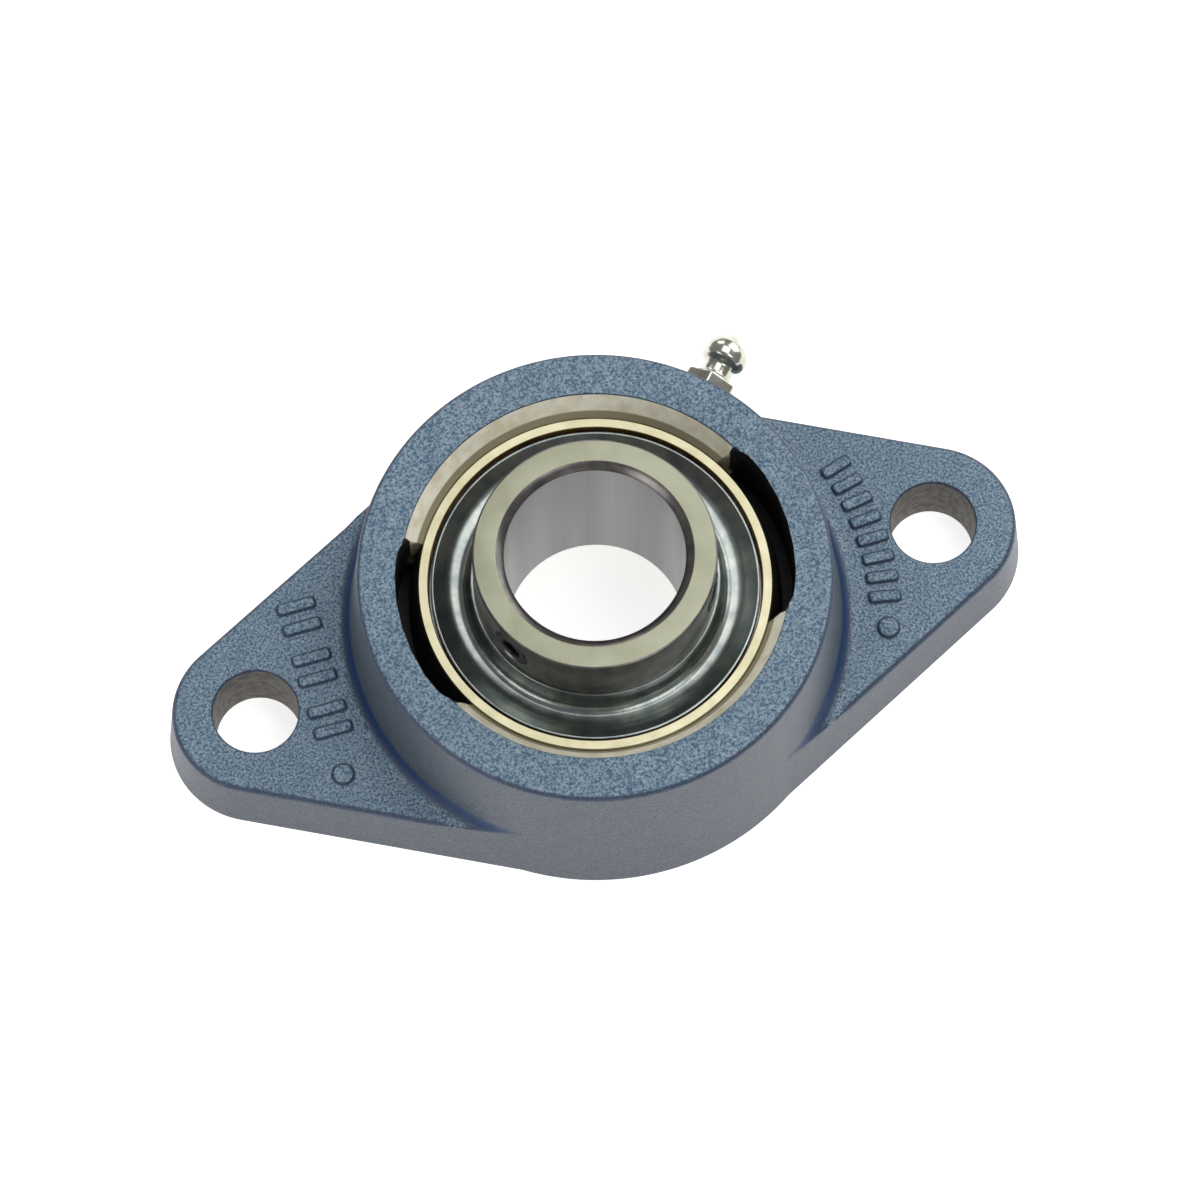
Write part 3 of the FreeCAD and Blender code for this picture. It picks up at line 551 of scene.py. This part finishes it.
# ground steel under a film of yellow preservative oil, with fine turned lines round the axis
ring_steel, tree = empty_material("ground_bearing_steel")
place = add(tree, "ShaderNodeTexCoord")
split = add(tree, "ShaderNodeSeparateXYZ", {0: place.outputs["Object"]})
flat = add(tree, "ShaderNodeCombineXYZ", {0: split.outputs[0], 1: split.outputs[1]})
reach = add(tree, "ShaderNodeVectorMath", {0: flat.outputs[0]}, operation="LENGTH")
turned = add(tree, "ShaderNodeCombineXYZ", {0: reach.outputs["Value"], 2: split.outputs[2]})
lines = add(tree, "ShaderNodeTexNoise", {"Vector": turned.outputs[0], "Scale": 6000.0, "Detail": 2.0})
film = add(tree, "ShaderNodeTexNoise", {"Vector": place.outputs["Object"], "Scale": 300.0, "Detail": 3.0})
tint = add(tree, "ShaderNodeValToRGB", {0: film.outputs[0]}, [(0.3, "#9C977B"), (0.65, "#ABA68C")])
bump = add(tree, "ShaderNodeBump", {"Height": lines.outputs[0], "Strength": 0.2, "Distance": 0.00004})
shader = add(tree, "ShaderNodeBsdfPrincipled", {"Base Color": tint.outputs[0], "Metallic": 1.0,
                                                "Roughness": 0.3, "Normal": bump.outputs[0]})
add(tree, "ShaderNodeOutputMaterial", {0: shader.outputs[0]})

# painted shade: the sphere's outside is oily, and made black as the light hardly reaches it down in the
# filling slots, which is what shows of it
shaded_sphere = mottled("slot_shade_ground_steel", 400.0, [(0.3, "#1D1E20"), (0.7, "#2B2B2A")], 0.5,
                       more={"Specular IOR Level": 0.15})

# amber line where the oil film collects at the edge of the seal's land
amber_film = mottled("amber_oil_on_steel", 400.0, [(0.3, "#5A4420"), (0.7, "#8A6B35")], 0.35, 0.6)

oil_hole_radius = 0.8 * mm
oil_hole_rise = 2.2 * mm
oil_hole = revolve([(0, 21 * mm), (oil_hole_radius, 21 * mm), (oil_hole_radius, 27 * mm), (0, 27 * mm)],
                   32, nipple_place @ Matrix.Translation((-oil_hole_rise, 0, 0)))
outer_mesh = carved(revolve(outer_section, 480), [(oil_hole, "DIFFERENCE")])
bright, slot_shade, amber = range(3)
for face in outer_mesh.polygons:
    reach = math.hypot(face.center.x, face.center.y)
    if reach > face_edge - 0.1 * mm and abs(face.normal.z) < 0.5:
        face.material_index = slot_shade
    elif reach < land_radius + 0.11 * mm:
        face.material_index = amber
    else:
        face.material_index = bright
finished(outer_mesh, "outer_ring_turned", [ring_steel, shaded_sphere, amber_film],
         "outer_ring_group", "outer_ring")


# ------------------------------------------------------------------ inner ring
# Bearing steel, longer towards the front, ground on its end and in its bore; the outside stays
# darker. Two threaded holes for the grub screws pass through the long end.

bore_radius = 12.5 * mm
collar_radius = 16.85 * mm
front_end = ball_centre + 19.8 * mm
rear_end = ball_centre - 10.2 * mm
chamfer_width = 1.18 * mm
chamfer_depth = 0.75 * mm
rim_chamfer = 0.28 * mm
grub_height = 31.0 * mm
grub_angles = (math.radians(-30), math.radians(-150))
thread_radius = 3.0 * mm
thread_mouth = 3.4 * mm


def ring_end(level, sign):
    """End of the ring from its outside to its bore: small rim chamfer, flat face, bore chamfer."""
    corners = [(collar_radius, rim_chamfer + 0.06 * mm), (collar_radius - 0.06 * mm, rim_chamfer * 0.45),
               (collar_radius - rim_chamfer, 0.0),
               (bore_radius + chamfer_width + 0.06 * mm, 0.0),
               (bore_radius + chamfer_width - 0.05 * mm, 0.04 * mm),
               (bore_radius + 0.06 * mm, chamfer_depth - 0.04 * mm),
               (bore_radius, chamfer_depth + 0.08 * mm)]
    return [(reach, level - sign * drop) for reach, drop in corners]


inner_section = ring_end(front_end, 1) + list(reversed(ring_end(rear_end, -1)))
inner_section += list(reversed(race(collar_radius - pitch_radius)))

# end face: ground, pale and slightly yellow, with short grinding lines across it
end_steel, tree = empty_material("ground_end_steel")
place = add(tree, "ShaderNodeTexCoord")
stretch = add(tree, "ShaderNodeMapping", {0: place.outputs["Object"], "Rotation": (0, 0, 1.25),
                                          "Scale": (1.0, 0.06, 1.0)})
strokes = add(tree, "ShaderNodeTexNoise", {"Vector": stretch.outputs[0], "Scale": 5200.0, "Detail": 2.0})
film = add(tree, "ShaderNodeTexNoise", {"Vector": place.outputs["Object"], "Scale": 180.0, "Detail": 3.0})
tint = add(tree, "ShaderNodeValToRGB", {0: film.outputs[0]}, [(0.3, "#868773"), (0.65, "#959684")])
bump = add(tree, "ShaderNodeBump", {"Height": strokes.outputs[0], "Strength": 0.3, "Distance": 0.00004})
shader = add(tree, "ShaderNodeBsdfPrincipled", {"Base Color": tint.outputs[0], "Metallic": 1.0,
                                                "Roughness": 0.42, "Normal": bump.outputs[0]})
add(tree, "ShaderNodeOutputMaterial", {0: shader.outputs[0]})

# bore: plunge ground, a plain grey with faint streaks along the axis
bore_steel, tree = empty_material("ground_bore_steel")
place = add(tree, "ShaderNodeTexCoord")
streak = add(tree, "ShaderNodeMapping", {0: place.outputs["Object"], "Scale": (1.0, 1.0, 0.03)})
streaks = add(tree, "ShaderNodeTexNoise", {"Vector": streak.outputs[0], "Scale": 260.0, "Detail": 3.0})
tint = add(tree, "ShaderNodeValToRGB", {0: streaks.outputs[0]}, [(0.35, "#838385"), (0.7, "#979797")])
shader = add(tree, "ShaderNodeBsdfPrincipled", {"Base Color": tint.outputs[0], "Metallic": 1.0,
                                                "Roughness": 0.4})
add(tree, "ShaderNodeOutputMaterial", {0: shader.outputs[0]})

# outside and chamfers: a darker, greyer steel than the end and the bore, under oil
black_steel = mottled("dark_outside_steel", 500.0, [(0.35, "#5A5858"), (0.7, "#74706A")], 0.3, 0.9)

threads = []
for angle in grub_angles:
    hole = [(0, 11.5 * mm), (thread_radius, 11.5 * mm), (thread_radius, 16.55 * mm),
            (thread_mouth, 17.0 * mm), (thread_mouth, 17.5 * mm), (0, 17.5 * mm)]
    threads.append((revolve(hole, 64, facing_out(angle, 0, grub_height)), "DIFFERENCE"))
inner_mesh = carved(revolve(inner_section, 480), threads)
on_end, in_bore, outside = range(3)
for face in inner_mesh.polygons:
    reach = math.hypot(face.center.x, face.center.y)
    if abs(face.normal.z) > 0.9 and reach > bore_radius + chamfer_width - 0.01 * mm:
        face.material_index = on_end
    elif reach < bore_radius + 0.02 * mm:
        face.material_index = in_bore
    else:
        face.material_index = outside
finished(inner_mesh, "inner_ring_ground", [end_steel, bore_steel, black_steel], "inner_ring_group",
         "inner_ring")


# ------------------------------------------------------------------ flingers
# Thin bright steel dishes, pressed and left glossy, with a collar that grips the inner ring. They
# turn with it, one at each side, and hide the seals.

hold = collar_radius + 0.01 * mm


def flinger_section(reach):
    """Closed section of a dish, as (radius, offset from the ball circle's plane)."""
    corners = [(hold / mm, reach, 0.02), (hold / mm + 0.4, reach, 0.12), (17.5, 8.2, 0.5),
               (17.9, 7.2, 0.5), (18.7, 6.7, 0.45), (20.3, 6.7, 0.8), (22.5, 7.95, 0.1),
               (22.8, 7.9, 0.08), (22.85, 7.4, 0.1), (22.6, 7.45, 0.08), (20.5, 6.3, 0.5),
               (18.5, 6.3, 0.45), (17.5, 6.85, 0.4), (hold / mm, 7.9, 0.3)]
    return rounded([(radius * mm, offset * mm, curve * mm) for radius, offset, curve in corners], 6)


# glossy dark steel with a thin smear of grease, so its reflections are slightly wavy
flinger_steel = mottled("glossy_pressed_steel", 350.0, [(0.3, "#737B7D"), (0.7, "#999E97")],
                        0.25, 1.0, relief=(0.25, 0.0001))

for side, sign, reach in (("front", 1, 10.2), ("rear", -1, 9.8)):
    section = [(radius, ball_centre + sign * offset) for radius, offset in flinger_section(reach)]
    dish = as_mesh(revolve(section, 360), "dish")
    finished(dish, f"{side}_flinger_dish", [flinger_steel], "inner_ring_group", f"{side}_flinger")


# ------------------------------------------------------------------ seals
# Zinc-plated pressed plates held in the outer ring's lands, each with a black nitrile lip bonded
# to its inner edge that rubs on the inner ring.

plate_inner = 18.9 * mm
plate_offset = 4.9 * mm
plate_thickness = 0.6 * mm

# dull zinc
plate_zinc = mottled("zinc_plated_plate", 600.0, [(0.35, "#9B9C9B"), (0.65, "#B7B8B5")], 0.4, 1.0)

# moulded nitrile rubber
lip_rubber = mottled("nitrile_rubber", 800.0, [(0.4, "#1B1B1C"), (0.6, "#262627")], 0.6, detail=2.0)

for side, sign in (("front", 1), ("rear", -1)):
    near, far = plate_offset, plate_offset + plate_thickness
    grip = land_radius - 0.02 * mm
    plate = [(plate_inner, near, 0.1 * mm), (grip, near, 0.15 * mm), (grip, far + 0.6 * mm, 0.15 * mm),
             (grip - 0.58 * mm, far + 0.6 * mm, 0.15 * mm), (grip - 0.58 * mm, far, 0.1 * mm),
             (plate_inner, far, 0.1 * mm)]
    lip = [(collar_radius + 0.06 * mm, near - 0.05 * mm, 0.08 * mm),
           (collar_radius + 0.4 * mm, near + 0.1 * mm, 0.1 * mm), (18.89 * mm, near, 0.05 * mm),
           (18.89 * mm, far, 0.05 * mm), (collar_radius + 0.9 * mm, far, 0.15 * mm)]
    for name, corners, material, slot in (("seal_plate", plate, plate_zinc, "seal_plate_steel"),
                                          ("seal_lip", lip, lip_rubber, "seal_rubber")):
        section = [(radius, ball_centre + sign * offset) for radius, offset in rounded(corners)]
        part = as_mesh(revolve(section, 240), name)
        finished(part, f"{side}_{name}_pressed", [material], "outer_ring_group", f"{side}_{name}")


# ------------------------------------------------------------------ balls
# Nine hardened chrome steel balls, ground and polished. Each is a body of its own, so the rule
# that spaces them on their circle is run once for each ball and keeps that one only.

ball_count = 9
ball_radius = 3.969 * mm

# mirror-polished steel with the faint uneven film of grease
ball_steel = mottled("polished_chrome_steel", 400.0, [(0.4, "#C9C6BC"), (0.6, "#DEDEDC")],
                     0.1, 1.0, detail=2.0)

ball_rule = bpy.data.node_groups.new("one_ball_of_a_circle", "GeometryNodeTree")
for name, kind in (("Ball Radius", "Float"), ("Pitch Radius", "Float"), ("Height", "Float"),
                   ("Count", "Int"), ("Number", "Int"), ("Material", "Material")):
    ball_rule.interface.new_socket(name=name, in_out="INPUT", socket_type=f"NodeSocket{kind}")
ball_rule.interface.new_socket(name="Ball", in_out="OUTPUT", socket_type="NodeSocketGeometry")
given = add(ball_rule, "NodeGroupInput")
circle = add(ball_rule, "GeometryNodeMeshCircle", {"Vertices": given.outputs["Count"],
                                                   "Radius": given.outputs["Pitch Radius"]})
lift = add(ball_rule, "ShaderNodeCombineXYZ", {2: given.outputs["Height"]})
raised = add(ball_rule, "GeometryNodeTransform", {0: circle.outputs[0], "Translation": lift.outputs[0]})
sphere = add(ball_rule, "GeometryNodeMeshUVSphere", {"Segments": 64, "Rings": 32,
                                                     "Radius": given.outputs["Ball Radius"]})
number = add(ball_rule, "GeometryNodeInputIndex")
wanted = add(ball_rule, "FunctionNodeCompare", {2: number.outputs[0], 3: given.outputs["Number"]},
             data_type="INT", operation="EQUAL")
spread = add(ball_rule, "GeometryNodeInstanceOnPoints", {
    "Points": raised.outputs[0], "Selection": wanted.outputs[0], "Instance": sphere.outputs[0]})
real = add(ball_rule, "GeometryNodeRealizeInstances", {0: spread.outputs[0]})
dressed = add(ball_rule, "GeometryNodeSetMaterial", {0: real.outputs[0],
                                                     "Material": given.outputs["Material"]})
add(ball_rule, "NodeGroupOutput", {0: dressed.outputs[0]})


def grown(rule, values):
    """Plain mesh that a node rule makes from values given by input name."""
    seed = bpy.data.objects.new("seed", bpy.data.meshes.new("seed"))
    bpy.context.scene.collection.objects.link(seed)
    grow = seed.modifiers.new("grow", "NODES")
    grow.node_group = rule
    for item in rule.interface.items_tree:
        if item.in_out == "INPUT" and item.name in values:
            grow[item.identifier] = values[item.name]
    bpy.context.view_layer.update()
    mesh = bpy.data.meshes.new_from_object(seed.evaluated_get(bpy.context.evaluated_depsgraph_get()))
    bpy.data.objects.remove(seed)
    return mesh


for index in range(ball_count):
    mesh = grown(ball_rule, {"Ball Radius": ball_radius, "Pitch Radius": pitch_radius,
                             "Height": ball_centre, "Count": ball_count, "Number": index,
                             "Material": ball_steel})
    finished(mesh, f"ball_{index + 1}_polished", [], f"ball_{index + 1}_group", f"ball_{index + 1}")


# ------------------------------------------------------------------ cage
# Moulded glass-filled nylon ring between the races, with a round pocket for each ball.

cage_inner = 17.5 * mm
cage_outer = 21.3 * mm
cage_half = 4.5 * mm
pocket_radius = 4.05 * mm

# natural nylon, slightly mottled by its glass fibres
cage_nylon = mottled("glass_filled_nylon", 1400.0, [(0.35, "#CDBF97"), (0.65, "#E0D6B6")], 0.45)

bottom, top = ball_centre - cage_half, ball_centre + cage_half
corner = 0.3 * mm
cage_section = rounded([(cage_inner, bottom, corner), (cage_outer, bottom, corner),
                        (cage_outer, top, corner), (cage_inner, top, corner)])
pockets = []
for index in range(ball_count):
    across = facing_out(math.tau * index / ball_count, 0, ball_centre)
    pocket = [(0, 15 * mm), (pocket_radius, 15 * mm), (pocket_radius, 24 * mm), (0, 24 * mm)]
    pockets.append((revolve(pocket, 64, across), "DIFFERENCE"))
cage_mesh = carved(revolve(cage_section, 360), pockets)
finished(cage_mesh, "cage_moulded", [cage_nylon], "cage_group", "cage")


# ------------------------------------------------------------------ grub screws
# Hardened black socket set screws, M6, that lock the inner ring to a shaft. Each stands just
# under the ring's outside, with its cup point short of the bore.

screw_length = 4.2 * mm
screw_radius = 2.97 * mm
thread_pitch = 0.75 * mm
socket_corner = 1.5 * mm / math.cos(math.radians(30))
socket_depth = 2.2 * mm

# black oxide
screw_steel = mottled("black_oxide_steel", 900.0, [(0.35, "#242426"), (0.65, "#353536")], 0.38, 0.8)

screw_side = [(0, 0.5 * mm), (1.6 * mm, 0.02 * mm), (1.9 * mm, 0), (2.2 * mm, 0.03 * mm)]
crest = 0.7 * mm
while crest + thread_pitch < screw_length - 0.3 * mm:
    screw_side += [(screw_radius - 0.4 * mm, crest), (screw_radius, crest + 0.3 * thread_pitch),
                   (screw_radius, crest + 0.45 * thread_pitch)]
    crest += thread_pitch
screw_side += [(screw_radius - 0.4 * mm, crest),
               (screw_radius - 0.02 * mm, crest + 0.3 * thread_pitch),
               (screw_radius - 0.35 * mm, screw_length - 0.02 * mm),
               (socket_corner + 0.2 * mm, screw_length), (0, screw_length)]
for index, angle in enumerate(grub_angles, start=1):
    stand = facing_out(angle, collar_radius - screw_length - 0.05 * mm, grub_height)
    hexagon = [(socket_corner * math.cos(math.radians(60 * side)),
                socket_corner * math.sin(math.radians(60 * side))) for side in range(6)]
    wide = [(x * 1.15, y * 1.15) for x, y in hexagon]
    socket = prism([(screw_length - socket_depth, hexagon), (screw_length - 0.15 * mm, hexagon),
                    (screw_length + 0.05 * mm, wide)], stand)
    screw = carved(revolve(screw_side, 72, stand), [(socket, "DIFFERENCE")])
    finished(screw, f"grub_screw_{index}_socket", [screw_steel], f"grub_screw_{index}_group",
             f"grub_screw_{index}")


# ------------------------------------------------------------------ grease nipple
# Turned and zinc-plated: a threaded shank in the housing's side, a hexagon, a neck and a button
# head that a grease gun's coupler grips. A ball on a spring closes the hole in its tip.

hex_corner = 4.04 * mm
hex_height = 3.4 * mm

# bright zinc, a little warm, with turning lines too fine to see apart
nipple_zinc = mottled("bright_zinc_plate", 500.0, [(0.3, "#AEAEA2"), (0.7, "#C9C9BE")],
                      0.2, 1.0, relief=(0.15, 0.0001))

nipple_stand = nipple_place @ Matrix.Translation((0, 0, spot_face))
nipple_corners = [(0, -5.1, 0), (2.98, -5.1, 0.4), (2.98, 0, 0), (3.4, 0, 0.02), (3.4, 3.4, 0.2),
                  (2.3, 3.9, 0.3), (2.2, 5.6, 0.4), (2.95, 6.3, 0.2), (3.25, 6.8, 0.25),
                  (3.25, 8.0, 0.45), (2.8, 9.0, 0.3), (1.5, 10.3, 0.15), (0, 10.3, 0)]
nipple_side = rounded([(reach * mm, along * mm, curve * mm) for reach, along, curve in nipple_corners])
hex_rings = []
for height, share in ((0.02, 0.95), (0.3, 1.0), (hex_height / mm - 0.35, 1.0), (hex_height / mm, 0.93)):
    plan = [(hex_corner * share * math.cos(math.radians(60 * side)),
             hex_corner * share * math.sin(math.radians(60 * side)), 0.35 * mm) for side in range(6)]
    hex_rings.append((height * mm, rounded(plan, 3)))
bore_corners = [(0, -6.0), (1.25, -6.0), (1.25, 8.8), (0.75, 9.6), (0.75, 10.2), (0.87, 10.32),
                (0.87, 11.0), (0, 11.0)]
bore = revolve([(reach * mm, along * mm) for reach, along in bore_corners], 48, nipple_stand)
nipple = carved(revolve(nipple_side, 96, nipple_stand),
                [(prism(hex_rings, nipple_stand), "UNION"), (bore, "DIFFERENCE")])
finished(nipple, "grease_nipple_turned", [nipple_zinc], "housing_group", "grease_nipple_body")

check_radius = 1.1 * mm
check_rise = 4.95 * mm
check_stand = nipple_stand @ Matrix.Translation((0, 0, hex_height + check_rise))
arc = [(check_radius * math.sin(math.pi * step / 24), -check_radius * math.cos(math.pi * step / 24))
       for step in range(25)]
check = as_mesh(revolve(arc, 48, check_stand), "check")
finished(check, "nipple_check_ball_polished", [ball_steel], "check_ball_group", "nipple_check_ball")

# drawn spring wire
spring_wire = mottled("drawn_spring_wire", 1500.0, [(0.35, "#8E8E8C"), (0.65, "#B0B0AE")],
                      0.3, 1.0, detail=2.0)

wire_radius = 0.17 * mm
coil_radius = 0.9 * mm
coil_pitch = 1.15 * mm
coil_height = 9.8 * mm
coil_depth = 3.4 * mm
coil_stand = nipple_place @ Matrix.Translation((0, 0, spot_face - coil_depth))
turns = coil_height / coil_pitch
steps = int(turns * 32)
wire = bmesh.new()
rows = []
for step in range(steps + 1):
    turn = math.tau * turns * step / steps
    middle = Vector((coil_radius * math.cos(turn), coil_radius * math.sin(turn),
                     coil_height * step / steps))
    outward = Vector((math.cos(turn), math.sin(turn), 0))
    along = Vector((-math.sin(turn), math.cos(turn), coil_pitch / (math.tau * coil_radius))).normalized()
    across = along.cross(outward)
    rows.append([wire.verts.new(middle + wire_radius * (outward * math.cos(math.tau * spoke / 10)
                                                        + across * math.sin(math.tau * spoke / 10)))
                 for spoke in range(10)])
for here, there in zip(rows, rows[1:]):
    for spoke in range(10):
        after = (spoke + 1) % 10
        wire.faces.new((here[spoke], here[after], there[after], there[spoke]))
wire.faces.new(rows[0])
wire.faces.new(rows[-1])
bmesh.ops.transform(wire, matrix=coil_stand, verts=wire.verts)
bmesh.ops.recalc_face_normals(wire, faces=wire.faces)
coil = as_mesh(wire, "coil")
finished(coil, "nipple_spring_coil", [spring_wire], "housing_group", "nipple_spring")


# ------------------------------------------------------------------ floor, lights and camera
# A plain white table, lit from all round by large soft boxes, looked down on with a long lens.

floor_paint = mottled("white_table", 30.0, [(0.4, "#FAFAFA"), (0.6, "#FCFCFC")], 0.9, detail=2.0,
                      more={"Emission Color": (1.0, 1.0, 1.0, 1.0), "Emission Strength": 0.75})
table_top = bmesh.new()
bmesh.ops.create_grid(table_top, x_segments=8, y_segments=8, size=1.5)
floor = loose_object(table_top, "floor")
floor.location = (0, 0, -0.1 * mm)
floor.data.materials.append(floor_paint)

world = bpy.data.worlds.new("studio")
bpy.context.scene.world = world
world.use_nodes = True
world.node_tree.nodes["Background"].inputs[0].default_value = (1.0, 1.0, 1.0, 1.0)
world.node_tree.nodes["Background"].inputs[1].default_value = 0.28
for name, azimuth, elevation, distance, width, radiance in (
        ("overhead", 40, 72, 1.2, 0.7, 2.6), ("over_camera", 150, 60, 1.2, 0.45, 3.5),
        ("right_box", 66, 28, 1.1, 0.8, 2.8), ("left_box", 245, 30, 1.1, 0.6, 3.2),
        ("far_box", 5, 26, 1.1, 0.45, 2.5), ("near_box", 180, 18, 1.1, 0.5, 0.8)):
    lamp = bpy.data.lights.new(name, "AREA")
    lamp.shape = "SQUARE"
    lamp.size = width
    lamp.energy = math.pi * width ** 2 * radiance
    made = bpy.data.objects.new(name, lamp)
    bpy.context.scene.collection.objects.link(made)
    turn, rise = math.radians(azimuth), math.radians(elevation)
    away = Vector((math.sin(turn) * math.cos(rise), math.cos(turn) * math.cos(rise), math.sin(rise)))
    made.location = away * distance
    made.rotation_euler = away.to_track_quat("Z", "Y").to_euler()

bpy.context.scene.view_settings.view_transform = "Standard"
azimuth = math.radians(15.66)
elevation = math.radians(69.29)
roll = math.radians(0.86)
aim = Vector((0.84, 0.75, 15.0)) * mm
camera_distance = 0.996
forward = Vector((math.sin(azimuth) * math.cos(elevation), math.cos(azimuth) * math.cos(elevation),
                  -math.sin(elevation)))
level_right = forward.cross(Vector((0, 0, 1))).normalized()
level_up = level_right.cross(forward)
right = level_right * math.cos(roll) - level_up * math.sin(roll)
up = right.cross(forward)
lens = bpy.data.cameras.new("camera")
lens.sensor_width = 36.0
lens.lens = 214.0
lens.clip_start = 0.01
lens.clip_end = 10.0
camera = bpy.data.objects.new("camera", lens)
bpy.context.scene.collection.objects.link(camera)
camera.matrix_world = Matrix((
    (right.x, up.x, -forward.x, 0), (right.y, up.y, -forward.y, 0), (right.z, up.z, -forward.z, 0),
    (0, 0, 0, 1)))
camera.location = aim - forward * camera_distance
bpy.context.scene.camera = camera
